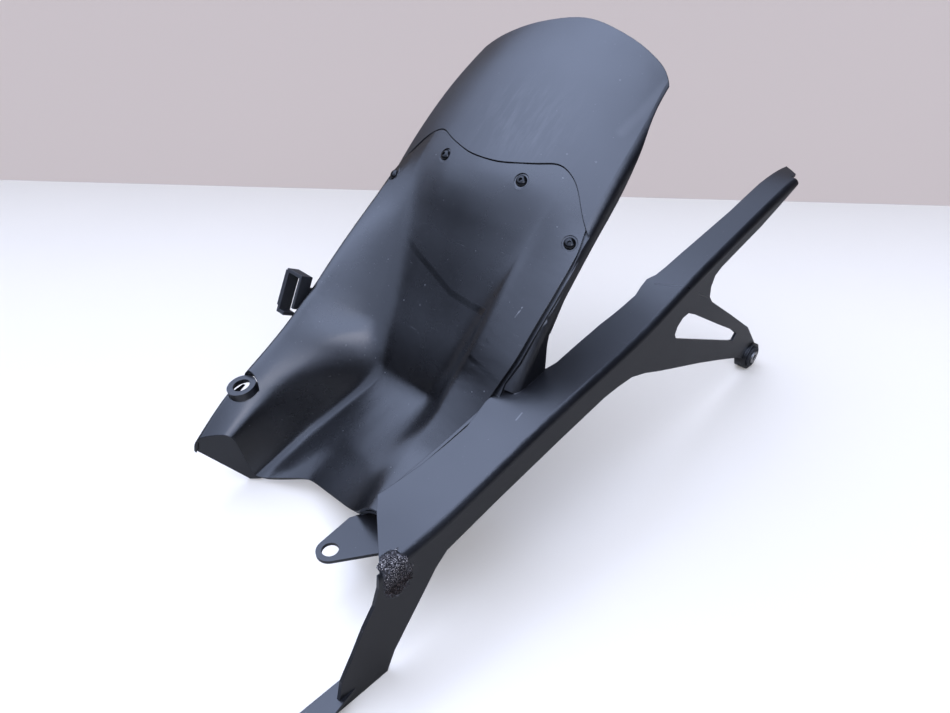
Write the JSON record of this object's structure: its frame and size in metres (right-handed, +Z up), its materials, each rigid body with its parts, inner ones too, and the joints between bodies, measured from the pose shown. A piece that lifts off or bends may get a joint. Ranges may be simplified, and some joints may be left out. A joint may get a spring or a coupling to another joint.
{
  "type": "motorcycle rear hugger",
  "caption": "Rear hugger with its chain guard, front cover, foot bush and brake hose clip, in satin black plastic.",
  "frame": {"origin": "centre of the foot bush, halfway along its eye", "axes": "+X along the bush bore, out of the chain guard side; +Y to the rear; +Z up as it stands on its foot, blade and toe"},
  "size_m": [0.298, 0.63, 0.356],
  "materials": {
    "shell_plastic": "satin black moulding",
    "cover_plastic": "satin black moulding",
    "rubber": "black rubber",
    "collar_steel": "zinc plated",
    "clip_plastic": "moulded black",
    "rivet_plastic": "moulded black",
    "screw_black": "gloss black",
    "nut_steel": "zinc plated"
  },
  "bodies": {
    "root": {"hugger_shell": "shell_plastic", "front_cover": "cover_plastic", "foot_grommet": "rubber", "foot_collar": "collar_steel", "hose_clip": "clip_plastic", "clip_rivet": "rivet_plastic", "screw_upper_right": "screw_black", "nut_upper_right": "nut_steel", "screw_upper_left": "screw_black", "nut_upper_left": "nut_steel", "screw_lower_right": "screw_black", "nut_lower_right": "nut_steel", "screw_lower_left": "screw_black", "nut_lower_left": "nut_steel"}
  },
  "joints": []
}
